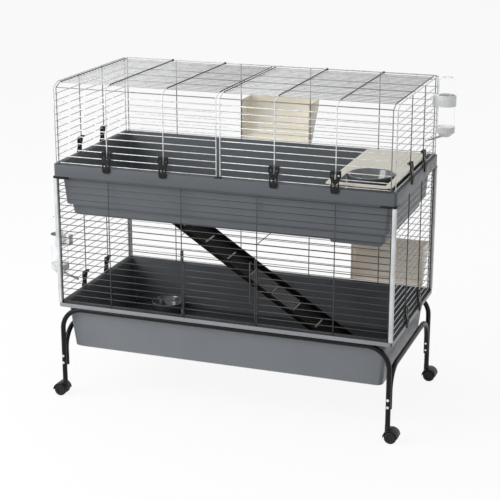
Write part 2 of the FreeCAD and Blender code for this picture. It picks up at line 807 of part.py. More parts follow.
def shelter():
    # Moulded hide: top plate that serves as a platform, and a lower ledge in a bay for the bowl
    x0 = shelter_left
    x1 = x0 + shelter_length
    floor = upper_floor_z - sunk_end_depth + seat_gap
    t = shelter_wall
    block = box(x0, x1, shelter_front, shelter_rear, floor, shelter_top_z - t)
    upright = [e for e in block.Edges if e.BoundBox.ZLength > t and e.CenterOfMass.y > shelter_front]
    block = block.makeFillet(shelter_round, upright)
    ledge = box(x0, x1, shelter_front - ledge_reach, shelter_front, floor, ledge_z)
    plate_front = plate_front_gap - half_y
    plate_rear = shelter_rear + shelter_overhang
    plate_right = x1 + shelter_right_overhang
    top = box(x0 - shelter_overhang, plate_right, plate_front, plate_rear, shelter_top_z - t, shelter_top_z)
    top = top.makeFillet(plate_corner, [e for e in top.Edges if e.BoundBox.ZLength > t / 2])
    body = fuse([block, ledge, top])
    rear = shelter_rear - t - room_rear_gap
    room = box(x0 + t, x1 - t, shelter_front - ledge_reach + t, rear, floor, ledge_z - t)
    loft_room = box(x0 + t, x1 - t, shelter_front + bay_r + 2 * t, rear, floor, shelter_top_z - t)
    above = shelter_top_z + cut_past
    bay = rod(V(bay_x, shelter_front, ledge_z), V(bay_x, shelter_front, above), bay_r)
    bay_left = bay_x - bay_r
    bay_mouth = box(bay_left, bay_x + bay_r, plate_front + bay_front_rim, shelter_front, ledge_z, above)
    bay = bay.fuse(bay_mouth).common(box(x0 + t, plate_right, -half_y, half_y, ledge_z, above))
    body = body.cut(room).cut(loft_room).cut(bay)
    middle = (shelter_front + shelter_rear) / 2
    outside = x0 - cut_past
    inside = x0 + t + cut_past
    spring = floor + entrance_spring
    arch = box(outside, inside, middle - entrance_r, middle + entrance_r, floor, spring)
    crown = rod(V(outside, middle, spring), V(inside, middle, spring), entrance_r)
    return body.cut(arch).cut(crown)


def turned(x, y, outline):
    # outline: (radius, height) points, turned round the upright axis at x, y
    points = [V(x + r, y, z) for r, z in outline]
    return Part.Face(Part.makePolygon(points + [points[0]])).revolve(V(x, y, 0), V(0, 0, 1), 360)


def bowl(radius, height, place):
    # Turned dish: foot, flared wall, rolled rim
    t = bowl_wall
    foot = radius * bowl_foot
    outline = [(0, 0), (foot, 0), (radius, height - bowl_rim), (radius, height)]
    outline += [(radius - t - bowl_roll, height), (foot - t, t), (0, t)]
    return turned(place.x, place.y, [(r, place.z + z) for r, z in outline])


def hay_rack(x, rim_z):
    # Wedge-shaped pocket behind the rear wires, open to the cage and at the top
    y = upright_y + upright_wire / 2
    z = rim_z + wire_rise / 2
    h = rack_height
    edge = h - rack_front_edge
    outer = [V(x, y, z), V(x, y, z + h), V(x, y + rack_depth, z + h), V(x, y + rack_depth, z + edge),
             V(x, y + rack_foot, z)]
    t = rack_wall
    mouth = y - cut_past
    above = z + h + cut_past
    inner = [V(x, mouth, z + t), V(x, mouth, above), V(x, y + rack_depth - t, above),
             V(x, y + rack_depth - t, z + edge), V(x, y + rack_foot - t, z + t)]
    half = rack_width / 2
    body = Part.Face(Part.makePolygon(outer + [outer[0]])).extrude(V(rack_width, 0, 0))
    body.translate(V(-half, 0, 0))
    room = Part.Face(Part.makePolygon(inner + [inner[0]])).extrude(V(rack_width - 2 * t, 0, 0))
    room.translate(V(t - half, 0, 0))
    body = body.cut(room)
    flanges = []
    for side in (-1, 1):
        a = x + side * half
        b = a - side * rack_flange
        flanges.append(box(min(a, b), max(a, b), y, y + t, z, z + h))
    return fuse([body] + flanges)


def bottle_parts(side, y, rim_z):
    # Bottle upside down in a bracket on the wires, with a cap and a slanted drinking spout
    x = side * (half_x + bottle_offset)
    plane = side * (cross_x + cross_wire / 2)
    spout_z = row_z(rim_z, spout_row) + wire_pitch / 2
    cap_z = spout_z + spout_drop * (abs(x) - abs(plane)) / spout_reach
    cap_top = cap_z + cap_height
    top = cap_z + bottle_height
    shoulder = top - bottle_shoulder
    bore = bottle_r - bottle_wall
    outline = [(0, top), (bottle_base_r, top), (bottle_r, shoulder), (bottle_r, cap_top), (0, cap_top)]
    skin = turned(x, y, outline)
    inside = [(0, shoulder), (bore, shoulder), (bore, cap_top + bottle_wall), (0, cap_top + bottle_wall)]
    bottle = skin.cut(turned(x, y, inside))
    outline = [(0, cap_z), (cap_nose_r, cap_z), (cap_r, cap_z + cap_nose), (cap_r, cap_top), (0, cap_top)]
    cap = turned(x, y, outline)
    start = V(x, y, cap_z + spout_r)
    slope = V(-side * spout_reach, 0, -spout_drop).normalize()
    reach = (abs(x) - abs(plane) + spout_inside) / abs(slope.x)
    spout = bar(start, start + slope * reach, spout_r, tube_sides).cut(cap)
    spout = max(spout.Solids, key=lambda piece: piece.Volume)
    bracket_z = row_z(rim_z, spout_row + bracket_row_gap) - bracket_height / 2 + wire_pitch / 2
    bracket_top = bracket_z + bracket_height
    low = V(x, y, bracket_z)
    high = V(x, y, bracket_top)
    collar = rod(low, high, bottle_r + seat_gap + bracket_wall)
    half_web = bracket_plate / 3
    web = box(min(plane, x), max(plane, x), y - half_web, y + half_web, bracket_z, bracket_top)
    face_x = plane + side * bracket_wall
    half_plate = bracket_plate / 2
    ends = sorted((plane, face_x))
    plate = box(ends[0], ends[1], y - half_plate, y + half_plate, bracket_z, bracket_top)
    bracket = fuse([collar, web, plate]).cut(rod(low, high, bottle_r + seat_gap))
    return bottle, cap, spout, bracket


os.makedirs("parts", exist_ok=True)

export("lower_tray", [lower_tray()])
export("upper_tray", upper_tray())

export("stand_front_hoop", [long_hoop(-1)])
export("stand_rear_hoop", [long_hoop(1)])
export("stand_left_hoop", [short_hoop(-leg_x)])
export("stand_right_hoop", [short_hoop(leg_x)])
export("leg_bolts", [leg_bolt(*place) for place in bolt_places()])

corners = {"front_left": (-1, -1), "front_right": (1, -1), "rear_left": (-1, 1), "rear_right": (1, 1)}
for name, (sx, sy) in corners.items():
    export("castor_frame_" + name, [castor_frame(sx * leg_x, sy * leg_y)])
    export("castor_wheels_" + name, [castor_wheels(sx * leg_x, sy * leg_y)])
    export("corner_post_" + name, [corner_post(sx * post_x, sy * post_y)])
export("post_caps", [post_cap(sx * post_x, sy * post_y) for sx, sy in corners.values()])

export("lower_front_grille", lower_front_panel())
export("lower_rear_grille", lower_rear_panel())
export("lower_left_grille", lower_side_panel(-1))
export("lower_right_grille", lower_side_panel(1))
export("tray_support_wires", tray_supports())
export("upper_rear_grille", upper_rear_panel())
export("upper_left_grille", upper_side_panel(-1))
export("upper_right_grille", upper_side_panel(1))

for name, side in (("left", -1), ("right", 1)):
    export("door_front_grille_" + name, door_front(side))
    export("door_roof_grille_" + name, door_roof(side))
    for place, x in (("outer", front_upright_outer), ("inner", front_upright_inner)):
        clip = clip_at(side * x, -cross_y, upper_rim_z, 0)
        export("front_clip_%s_%s" % (name, place), [clip])
    for storey, rim_z in (("upper", upper_rim_z), ("lower", lower_rim_z)):
        for place, y in (("front", -side_upright), ("rear", side_upright)):
            clip = clip_at(side * cross_x, y, rim_z, side * 90)
            export("%s_%s_clip_%s" % (storey, name, place), [clip])

export("lower_door_grille", lower_door())
export("lower_door_latch", [door_latch()])

ramp, treads = ramp_parts()
export("ramp", [ramp])
export("ramp_treads", treads)
export("ramp_ears", ramp_ears())

export("shelter", [shelter()])
bay_place = V(bay_x, shelter_front, ledge_z + seat_gap)
export("shelter_bowl", [bowl(big_bowl_r, big_bowl_height, bay_place)])
floor_place = V(small_bowl_end - half_x, small_bowl_front - half_y, lower_floor_z + seat_gap)
export("floor_bowl", [bowl(small_bowl_r, small_bowl_height, floor_place)])
export("upper_hay_rack", [hay_rack(0, upper_rim_z)])
export("lower_hay_rack", [hay_rack(half_x - lower_rack_end, lower_rim_z)])

upper_place = ("upper", 1, half_y - upper_bottle_rear, upper_rim_z)
lower_place = ("lower", -1, lower_bottle_front - half_y, lower_rim_z)
for name, side, y, rim_z in (upper_place, lower_place):
    bottle, cap, spout, bracket = bottle_parts(side, y, rim_z)
    export(name + "_bottle", [bottle])
    export(name + "_bottle_cap", [cap, spout])
    export(name + "_bottle_bracket", [bracket])
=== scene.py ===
import json
import math
import bmesh
import bpy
from mathutils import Matrix, Vector


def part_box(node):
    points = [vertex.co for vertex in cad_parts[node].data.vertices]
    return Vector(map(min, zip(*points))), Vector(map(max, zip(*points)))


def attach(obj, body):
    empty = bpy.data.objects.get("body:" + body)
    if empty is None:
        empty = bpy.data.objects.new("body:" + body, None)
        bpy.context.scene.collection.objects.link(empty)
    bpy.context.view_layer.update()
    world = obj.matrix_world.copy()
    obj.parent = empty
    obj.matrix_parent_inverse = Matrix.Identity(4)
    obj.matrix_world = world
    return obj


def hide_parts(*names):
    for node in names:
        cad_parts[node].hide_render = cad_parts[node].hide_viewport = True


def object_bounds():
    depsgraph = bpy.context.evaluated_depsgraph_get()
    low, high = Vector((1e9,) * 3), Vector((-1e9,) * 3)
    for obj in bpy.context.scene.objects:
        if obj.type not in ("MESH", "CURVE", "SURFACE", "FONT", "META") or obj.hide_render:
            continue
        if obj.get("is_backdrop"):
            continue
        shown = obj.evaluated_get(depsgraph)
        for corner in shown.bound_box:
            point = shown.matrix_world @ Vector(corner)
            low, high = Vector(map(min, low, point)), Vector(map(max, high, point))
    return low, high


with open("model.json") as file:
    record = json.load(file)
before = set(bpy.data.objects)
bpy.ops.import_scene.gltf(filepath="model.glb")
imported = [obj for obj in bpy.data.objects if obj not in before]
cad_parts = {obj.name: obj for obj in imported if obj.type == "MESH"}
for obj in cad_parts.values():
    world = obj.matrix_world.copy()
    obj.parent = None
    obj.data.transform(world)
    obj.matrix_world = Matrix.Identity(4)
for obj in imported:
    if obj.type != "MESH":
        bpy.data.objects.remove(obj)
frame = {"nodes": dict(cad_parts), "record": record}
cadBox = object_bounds()
bodyOf = {node: body for body, nodes in frame["record"]["behaviour"]["bodies"].items() for node in nodes}
meshSpec = {"merge": 0.00002, "flat": 1.0, "seed": 0.001, "near": 0.001, "facing": 0.9, "sideways": 0.1}
print("frame loaded:", len(bodyOf), "nodes")


# selection and edit mode

def dropAll():
    bpy.ops.object.select_all(action="DESELECT")


def holdOnly(piece):
    dropAll()
    piece.select_set(True)
    bpy.context.view_layer.objects.active = piece


def openMesh(piece, mode="FACE"):
    holdOnly(piece)
    bpy.ops.object.mode_set(mode="EDIT")
    bpy.ops.mesh.select_mode(type=mode)
    bpy.ops.mesh.select_all(action="DESELECT")


def closeMesh():
    bpy.ops.object.mode_set(mode="OBJECT")


def pickFaces(piece, test):  # test takes a face's middle and normal
    bpy.ops.mesh.select_mode(type="FACE")
    bpy.ops.mesh.select_all(action="DESELECT")
    mesh = bmesh.from_edit_mesh(piece.data)
    for face in mesh.faces:
        face.select_set(bool(test(face.calc_center_median(), face.normal)))
    bmesh.update_edit_mesh(piece.data)


def facesUp(middle, normal):
    return normal.z > meshSpec["facing"]


def closeSkin():  # merge doubles and turn every face outwards, in edit mode
    bpy.ops.mesh.select_all(action="SELECT")
    bpy.ops.mesh.remove_doubles(threshold=meshSpec["merge"])
    bpy.ops.mesh.normals_make_consistent(inside=False)


def applyAll(piece):
    holdOnly(piece)
    for modifier in list(piece.modifiers):
        bpy.ops.object.modifier_apply(modifier=modifier.name)


def softEdges(piece, width, segments=2, angle=35):
    bevel = piece.modifiers.new("softEdges", "BEVEL")
    bevel.width = width
    bevel.segments = segments
    bevel.limit_method = "ANGLE"
    bevel.angle_limit = math.radians(angle)
    applyAll(piece)


def named(name):
    piece = bpy.context.object
    piece.name = name
    piece.data.name = name
    return piece


def fixPlace():
    bpy.ops.object.transform_apply(location=True, rotation=True, scale=True)


def finished(piece, finish, node, smooth=38):
    # finish is a material, a list of them, or None where the piece has its own
    holdOnly(piece)
    fixPlace()
    bpy.ops.object.shade_smooth_by_angle(angle=math.radians(smooth))
    if finish:
        for material in finish if isinstance(finish, list) else [finish]:
            piece.data.materials.append(material)
    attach(piece, bodyOf[node])


def settle(piece, finish, node, smooth=38):
    finished(piece, finish, node, smooth)
    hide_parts(node)


def dressed(node, width, finish, segments=2, smooth=38, cut=None):
    # a merged copy of the solid, cut where it has openings, with its edges broken
    piece = bpy.data.objects.new(node + ".dressed", frame["nodes"][node].data.copy())
    bpy.context.scene.collection.objects.link(piece)
    piece.data.materials.clear()
    openMesh(piece)
    bpy.ops.mesh.select_all(action="SELECT")
    bpy.ops.mesh.remove_doubles(threshold=meshSpec["merge"])
    bpy.ops.mesh.dissolve_limited(angle_limit=math.radians(meshSpec["flat"]))
    closeMesh()
    if cut:
        cut(piece, node)
    softEdges(piece, width, segments)
    settle(piece, finish, node, smooth)
    return piece


def spun(name, outline, centre, steps):  # outline: (radius, height) points turned round an upright axis
    dropAll()
    bpy.ops.mesh.primitive_plane_add(size=meshSpec["seed"], location=centre)
    piece = named(name)
    fixPlace()
    openMesh(piece, "VERT")
    mesh = bmesh.from_edit_mesh(piece.data)
    mesh.verts.ensure_lookup_table()
    for vert in mesh.verts[1:]:  # one corner is kept as the outline's first point
        vert.select_set(True)
    bmesh.update_edit_mesh(piece.data)
    bpy.ops.mesh.delete(type="VERT")
    mesh = bmesh.from_edit_mesh(piece.data)
    first = list(mesh.verts)[0]
    first.co = Vector(centre) + Vector((outline[0][0], 0, outline[0][1]))
    first.select_set(True)
    bmesh.update_edit_mesh(piece.data)
    for before, after in zip(outline, outline[1:]):
        step = (after[0] - before[0], 0, after[1] - before[1])
        bpy.ops.mesh.extrude_vertices_move(TRANSFORM_OT_translate={"value": step})
    bpy.ops.mesh.select_all(action="SELECT")
    bpy.ops.mesh.spin(steps=steps, angle=math.tau, center=centre, axis=(0, 0, 1))
    closeSkin()
    closeMesh()
    return piece


# finishes

noiseReach = (0.3, 0.7)  # where most of a noise's values lie
# noises are scale, detail and roughness; tones are noise value and gain; sheen is scale, least and most
mouldLook = {
    "patches": (4.0, 4.0, 0.55), "tones": (0.32, 0.5, 0.7), "sheen": (36.0, -0.06, 0.08),
    "grain": (2.0, 0.6), "relief": 0.35,
}
wireLook = {
    "patches": (60.0, 5.0, 0.65), "tones": ((0.3, 0.62), (0.5, 1), (0.72, 1.22)),
    "sheen": (240.0, -0.08, 0.12), "skin": (900.0, 2.0), "relief": 0.2, "depth": 0.0001,
    "tint": (1, 1.005, 1.02),
}
tubeLook = {
    "patches": (14.0, 5.0), "tones": ((0.35, 0.8), (0.6, 1), (0.8, 1.5)), "sheen": (90.0, -0.07, 0.1),
    "skin": (420.0, 2.0), "relief": 0.25, "depth": 0.0002,
}
clearLook = {
    "stretch": (1, 1, 0.15), "refraction": 1.08, "sheen": (70.0, 0.02, 0.12), "skin": (40.0, 2.0),
    "relief": 0.15, "depth": 0.0006,
}


def newFinish(name):
    material = bpy.data.materials.new(name)
    material.use_nodes = True
    tree = material.node_tree
    return material, tree, tree.nodes["Principled BSDF"]


def place(tree, stretch=(1, 1, 1)):  # object coordinates, stretched where a pattern runs one way
    coords = tree.nodes.new("ShaderNodeTexCoord")
    mapping = tree.nodes.new("ShaderNodeMapping")
    mapping.inputs["Scale"].default_value = stretch
    tree.links.new(coords.outputs["Object"], mapping.inputs["Vector"])
    return mapping.outputs["Vector"]


def noise(tree, vector, scale, detail=3.0, rough=0.5):
    node = tree.nodes.new("ShaderNodeTexNoise")
    node.inputs["Scale"].default_value = scale
    node.inputs["Detail"].default_value = detail
    node.inputs["Roughness"].default_value = rough
    tree.links.new(vector, node.inputs["Vector"])
    return node.outputs["Fac"]


def ramp(tree, factor, stops):
    node = tree.nodes.new("ShaderNodeValToRGB")
    keys = node.color_ramp.elements
    while len(keys) < len(stops):
        keys.new(0.5)
    for key, (spot, colour) in zip(keys, stops):
        key.position = spot
        key.color = (*colour, 1)
    tree.links.new(factor, node.inputs["Fac"])
    return node.outputs["Color"]


def between(tree, factor, low, high, reach=(0, 1)):
    node = tree.nodes.new("ShaderNodeMapRange")
    node.inputs["From Min"].default_value, node.inputs["From Max"].default_value = reach
    node.inputs["To Min"].default_value = low
    node.inputs["To Max"].default_value = high
    tree.links.new(factor, node.inputs["Value"])
    return node.outputs["Result"]


def unevenSheen(tree, shader, vector, sheen, rough=0):
    scale, least, most = sheen
    level = between(tree, noise(tree, vector, scale), rough + least, rough + most, noiseReach)
    tree.links.new(level, shader.inputs["Roughness"])


def raised(tree, shader, height, look):
    node = tree.nodes.new("ShaderNodeBump")
    node.inputs["Strength"].default_value = look["relief"]
    node.inputs["Distance"].default_value = look["depth"]
    tree.links.new(height, node.inputs["Height"])
    tree.links.new(node.outputs["Normal"], shader.inputs["Normal"])


def shade(colour, gain):
    return tuple(min(1.0, channel * gain) for channel in colour)


def coat(name, colour, rough, look):  # patchy colour, uneven sheen and a fine skin
    material, tree, shader = newFinish(name)
    vector = place(tree)
    stops = [(spot, shade(colour, gain)) for spot, gain in look["tones"]]
    patches = noise(tree, vector, *look["patches"])
    tree.links.new(ramp(tree, patches, stops), shader.inputs["Base Color"])
    unevenSheen(tree, shader, vector, look["sheen"], rough)
    raised(tree, shader, noise(tree, vector, *look["skin"]), look)
    return material, shader


def moulded(name, colour, rough, grain, depth, drift=0.12, wet=0.5):
    # injection-moulded plastic: slow colour drift and a fine spark-eroded grain
    tones = tuple(zip(mouldLook["tones"], (1 - drift, 1, 1 + drift)))
    look = {**mouldLook, "tones": tones, "skin": (grain, *mouldLook["grain"]), "depth": depth}
    material, shader = coat(name, colour, rough, look)
    shader.inputs["Specular IOR Level"].default_value = wet
    return material


def wireCoat(name, grey, metallic=0.4, rough=0.42):
    # plated wire: dull spots where the coat is thin, fine drawing marks
    material, shader = coat(name, tuple(grey * share for share in wireLook["tint"]), rough, wireLook)
    shader.inputs["Metallic"].default_value = metallic
    return material


def tubePaint(name, colour, rough, wet=0.6):
    # powder coat: orange-peel skin with a low gloss
    material, shader = coat(name, colour, rough, tubeLook)
    shader.inputs["Specular IOR Level"].default_value = wet
    return material


def clearWall(name, tint):
    # clear moulded bottle: faint flow lines and a touch of haze
    material, tree, shader = newFinish(name)
    vector = place(tree, clearLook["stretch"])
    shader.inputs["Base Color"].default_value = (*tint, 1)
    shader.inputs["Transmission Weight"].default_value = 1.0
    shader.inputs["IOR"].default_value = clearLook["refraction"]
    unevenSheen(tree, shader, vector, clearLook["sheen"])
    raised(tree, shader, noise(tree, vector, *clearLook["skin"]), clearLook)
    return material


# mouldings: linear colour, roughness, grain scale, grain depth, colour drift and gloss
# wires: grey, metallic and roughness; paints: linear colour, roughness and gloss
finishes = {
    # trays: each is one grey moulding; the inside, floor and rim plate colours are that grey darkened as
    # painted shade, and the lip is lighter on the lower tray as painted light and darker on the upper tray
    # as painted shade
    "lowerOutside": moulded("greyTray", (0.180, 0.192, 0.208), 0.42, 900.0, 0.00012, 0.05, 0.35),
    "lowerLipLit": moulded("greyLipPaintedLight", (0.262, 0.278, 0.295), 0.42, 900.0, 0.00012, 0.05, 0.35),
    "lowerInsideShaded": moulded("greyTrayInsidePaintedShade", (0.077, 0.085, 0.094), 0.5, 900.0, 0.00012, wet=0.3),
    "lowerFloorShaded": moulded("greyTrayFloorPaintedShade", (0.038, 0.043, 0.047), 0.5, 500.0, 0.0002, wet=0.3),
    "lowerPlateShaded": moulded("greyRimPaintedShade", (0.030, 0.032, 0.035), 0.5, 900.0, 0.00012, wet=0.2),
    "upperOutside": moulded("slateTray", (0.136, 0.150, 0.166), 0.42, 900.0, 0.00012, 0.05, 0.35),
    "upperLipShaded": moulded("slateLipPaintedShade", (0.100, 0.111, 0.123), 0.42, 900.0, 0.00012, 0.05, 0.35),
    "upperInsideShaded": moulded("slateTrayInsidePaintedShade", (0.088, 0.101, 0.111), 0.5, 900.0, 0.00012, wet=0.3),
    "upperFloorShaded": moulded("slateTrayFloorPaintedShade", (0.060, 0.068, 0.074), 0.5, 500.0, 0.0002, wet=0.3),
    "upperPlateShaded": moulded("slateRimPaintedShade", (0.060, 0.066, 0.073), 0.5, 900.0, 0.00012, wet=0.2),
    # wires: all one plated wire; the greys differ by panel as painted light (front, roof, rear, side and
    # lower back wires lighter) and painted shade (roof cross, upright, corner and lower wires darker)
    "frontWireLit": wireCoat("frontWireZincPaintedLight", 0.75, 0.3),
    "roofWireLit": wireCoat("roofWireZincPaintedLight", 0.43, 0.2),
    "roofCrossWireShaded": wireCoat("roofCrossZincPaintedShade", 0.06),
    "rearWireLit": wireCoat("rearWireZincPaintedLight", 0.52),
    "sideWireLit": wireCoat("sideWireZincPaintedLight", 0.60),
    "uprightWireShaded": wireCoat("uprightZincPaintedShade", 0.16),
    "cornerWireShaded": wireCoat("cornerWireZincPaintedShade", 0.22),
    "lowerWireShaded": wireCoat("lowerWireZincPaintedShade", 0.062),
    "lowerBackWireLit": wireCoat("lowerBackZincPaintedLight", 0.52),
    "post": tubePaint("postPaint", (0.70, 0.725, 0.735), 0.36),
    "stand": tubePaint("standPaint", (0.0035, 0.0035, 0.0038), 0.30, 0.22),
    "bolt": wireCoat("boltPlating", 0.78, 0.9, 0.22),
    "cap": moulded("cornerCap", (0.009, 0.009, 0.010), 0.42, 700.0, 0.0001, wet=0.2),
    "castor": moulded("castorHood", (0.010, 0.010, 0.011), 0.4, 700.0, 0.0001, wet=0.25),
    "wheel": moulded("castorWheel", (0.016, 0.016, 0.017), 0.5, 500.0, 0.0002, wet=0.25),
    "clip": moulded("clipBlack", (0.008, 0.008, 0.009), 0.38, 700.0, 0.0001, wet=0.22),
    "ramp": moulded("rampBlack", (0.0045, 0.0045, 0.0047), 0.6, 600.0, 0.0003, 0.3, 0.08),
    "grip": moulded("rampGrip", (0.310, 0.310, 0.295), 0.6, 600.0, 0.0002, 0.2, 0.15),
    # treads: the ramp's black plastic painted light grey, a painted highlight along each tread
    "tread": moulded("rampTread", (0.34, 0.34, 0.33), 0.5, 500.0, 0.0002),
    "shelter": moulded("creamShelter", (0.60, 0.575, 0.495), 0.42, 800.0, 0.00012, 0.05, 0.3),
    "bowl": moulded("bowlGloss", (0.116, 0.124, 0.133), 0.14, 300.0, 0.00003, wet=0.9),
    "upperRack": moulded("beigeRack", (0.86, 0.80, 0.665), 0.45, 700.0, 0.00015, 0.06, 0.3),
    # lower rack: the same beige moulding as the upper rack, made lighter as painted light because it stands
    # in shade
    "lowerRackLit": moulded("beigeRackPaintedLight", (0.96, 0.870, 0.750), 0.45, 700.0, 0.00015, 0.06, 0.3),
    "bottle": clearWall("bottleClear", (0.995, 0.998, 1.0)),
    "bottleCap": moulded("bottleCapGrey", (0.73, 0.74, 0.75), 0.4, 500.0, 0.0001),
    "spout": wireCoat("spoutSteel", 0.36, 1.0, 0.25),
    "bracket": moulded("bracketGrey", (0.86, 0.88, 0.89), 0.4, 600.0, 0.0001),
}
print("finishes ready:", len(finishes))


# trays

trayShape = {
    "wall": 0.003, "rim": (0.590, 0.2925), "corner": 0.012, "cornerSteps": 8,
    "edge": 0.0014, "edgeSteps": 2, "edgeAngle": 30, "smooth": 40, "lipNear": 0.002, "level": 0.7,
}
# levels are height, half length and half depth; finishes are inside, outside, floor, rim plate and lip,
# where inside, floor and rim plate are the outside grey darkened as painted shade, and the lip is that grey
# made lighter on the lower tray as painted light and darker on the upper tray as painted shade
lowerTray = {
    **trayShape, "node": "lower_tray", "floorZ": 0.177, "rimZ": 0.344, "lipZ": 0.330,
    "levels": [(0.177, 0.541, 0.2435), (0.182, 0.549, 0.2515), (0.344, 0.565, 0.2675)],
    "finish": ("lowerInsideShaded", "lowerOutside", "lowerFloorShaded", "lowerPlateShaded", "lowerLipLit"),
}
upperTray = {
    **trayShape, "node": "upper_tray", "floorZ": 0.653, "rimZ": 0.832, "lipZ": 0.792,
    "levels": [(0.653, 0.533, 0.2355), (0.658, 0.541, 0.2435), (0.691, 0.546, 0.2485),
               (0.694, 0.559, 0.2615), (0.832, 0.570, 0.2725)],
    "sunk": {"start": 0.363, "drop": 0.010, "slope": 0.004},
    "hole": {"x": (-0.296, -0.060), "y": (-0.105, 0.105)},
    "finish": ("upperInsideShaded", "upperOutside", "upperFloorShaded", "upperPlateShaded", "upperLipShaded"),
}
trayZones = {"wall": 0, "floor": 2, "plate": 4, "lip": 6}  # material slots; the next one is the far side's


def trayWalls(spec):  # a rounded plate drawn up into walls, out into the rim plate and down into the lip
    z, halfX, halfY = spec["levels"][0]
    dropAll()
    bpy.ops.mesh.primitive_plane_add(size=2, location=(0, 0, z))
    piece = named(spec["node"] + ".shell")
    piece.scale = (halfX, halfY, 1)
    fixPlace()
    openMesh(piece, "VERT")
    bpy.ops.mesh.select_all(action="SELECT")
    steps = spec["cornerSteps"]
    bpy.ops.mesh.bevel(offset=spec["corner"], offset_type="OFFSET", segments=steps, affect="VERTICES")
    bpy.ops.mesh.select_mode(type="EDGE")
    bpy.ops.mesh.select_all(action="SELECT")
    rim = [(spec["rimZ"], *spec["rim"]), (spec["lipZ"], *spec["rim"])]
    for nextZ, nextX, nextY in spec["levels"][1:] + rim:
        bpy.ops.mesh.extrude_edges_move(TRANSFORM_OT_translate={"value": (0, 0, nextZ - z)})
        bpy.ops.transform.resize(value=(nextX / halfX, nextY / halfY, 1), center_override=(0, 0, 0))
        z, halfX, halfY = nextZ, nextX, nextY
    return piece


def trayZone(spec, face):
    reach = max(abs(face.center.x) - spec["rim"][0], abs(face.center.y) - spec["rim"][1])
    if face.center.z > spec["rimZ"] - meshSpec["near"]:
        return trayZones["plate"]
    if reach > -spec["lipNear"]:
        return trayZones["lip"]
    return trayZones["floor" if face.normal.z > spec["level"] else "wall"]


def tray(spec):
    piece = trayWalls(spec)
    isFloor = lambda middle, normal: abs(middle.z - spec["floorZ"]) < meshSpec["near"]
    sunk, hole = spec.get("sunk"), spec.get("hole")
    if sunk:
        pickFaces(piece, isFloor)
        bpy.ops.mesh.bisect(plane_co=(sunk["start"], 0, 0), plane_no=(1, 0, 0))
        pickFaces(piece, lambda middle, normal: isFloor(middle, normal) and middle.x > sunk["start"])
        bpy.ops.mesh.inset(thickness=sunk["slope"])
        bpy.ops.transform.translate(value=(0, 0, -sunk["drop"]))
    if hole:
        for x in hole["x"]:
            pickFaces(piece, isFloor)
            bpy.ops.mesh.bisect(plane_co=(x, 0, 0), plane_no=(1, 0, 0))
        for y in hole["y"]:
            pickFaces(piece, isFloor)
            bpy.ops.mesh.bisect(plane_co=(0, y, 0), plane_no=(0, 1, 0))
        (x0, x1), (y0, y1) = hole["x"], hole["y"]
        inHole = lambda middle: x0 < middle.x < x1 and y0 < middle.y < y1
        pickFaces(piece, lambda middle, normal: isFloor(middle, normal) and inHole(middle))
        bpy.ops.mesh.delete(type="FACE")
    closeSkin()
    closeMesh()
    floors = [face for face in piece.data.polygons if isFloor(face.center, face.normal)]
    if floors[0].normal.z < 0:  # the open shell's inside is its front
        openMesh(piece)
        bpy.ops.mesh.select_all(action="SELECT")
        bpy.ops.mesh.flip_normals()
        closeMesh()
    # the inside, floor, rim plate and lip finishes are painted shade and painted light laid over the
    # outside grey
    inside, outside, floor, plate, lip = (finishes[name] for name in spec["finish"])
    for material in (inside, floor, plate, lip):  # each followed by that of its far side
        piece.data.materials.append(material)
        piece.data.materials.append(outside)
    for face in piece.data.polygons:
        face.material_index = trayZone(spec, face)
    wall = piece.modifiers.new("wall", "SOLIDIFY")
    wall.thickness = spec["wall"]
    wall.offset = -1.0
    wall.material_offset = 1
    wall.material_offset_rim = 1
    applyAll(piece)
    softEdges(piece, spec["edge"], spec["edgeSteps"], spec["edgeAngle"])
    settle(piece, None, spec["node"], spec["smooth"])


tray(lowerTray)
tray(upperTray)
print("trays done")


# stand

standSpec = {"tube": 0.0085, "sides": 24, "bend": 0.075, "bendSteps": 14, "smooth": 50, "boltEdge": 0.0008}


def hoop(node):  # circle at one foot, drawn up, over and down
    low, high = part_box(node)
    r, bend = standSpec["tube"], standSpec["bend"]
    middle = (low + high) / 2
    lengthwise = high.x - low.x > high.y - low.y
    along = Vector((1, 0, 0)) if lengthwise else Vector((0, 1, 0))
    foot = Vector((low.x + r, middle.y, low.z)) if lengthwise else Vector((middle.x, low.y + r, low.z))
    rise = Vector((0, 0, high.z - r - bend - low.z))
    run = along * ((high - low).dot(along) - 2 * r - 2 * bend)
    turn = {"steps": standSpec["bendSteps"], "angle": math.pi / 2, "axis": along.cross(Vector((0, 0, 1)))}
    centre = foot + rise + along * bend
    dropAll()
    bpy.ops.mesh.primitive_circle_add(vertices=standSpec["sides"], radius=r, location=foot)
    piece = named(node + ".tube")
    fixPlace()
    openMesh(piece, "EDGE")
    bpy.ops.mesh.select_all(action="SELECT")
    bpy.ops.mesh.extrude_edges_move(TRANSFORM_OT_translate={"value": rise})
    bpy.ops.mesh.spin(center=centre, **turn)
    bpy.ops.mesh.extrude_edges_move(TRANSFORM_OT_translate={"value": run})
    bpy.ops.mesh.spin(center=centre + run, **turn)
    bpy.ops.mesh.extrude_edges_move(TRANSFORM_OT_translate={"value": -rise})
    bpy.ops.mesh.select_all(action="DESELECT")
    bpy.ops.mesh.select_non_manifold()  # both open ends
    bpy.ops.mesh.edge_face_add()
    closeSkin()
    closeMesh()
    settle(piece, finishes["stand"], node, standSpec["smooth"])


for side in ("front", "rear", "left", "right"):
    hoop("stand_%s_hoop" % side)
dressed("leg_bolts", standSpec["boltEdge"], finishes["bolt"])
print("stand done")


# castors and posts

castorSpec = {
    "edge": 0.0012, "tyreRound": 0.004, "tyreTurns": (0.5, 1.0, 1.5), "hub": (0.45, 0.52),
    "hubInset": 0.0025, "gap": 0.0065, "innerEdge": 0.0015, "axle": 0.003, "steps": 40, "smooth": 40,
}
postSpec = {"edge": 0.0008, "capEdge": 0.0012}


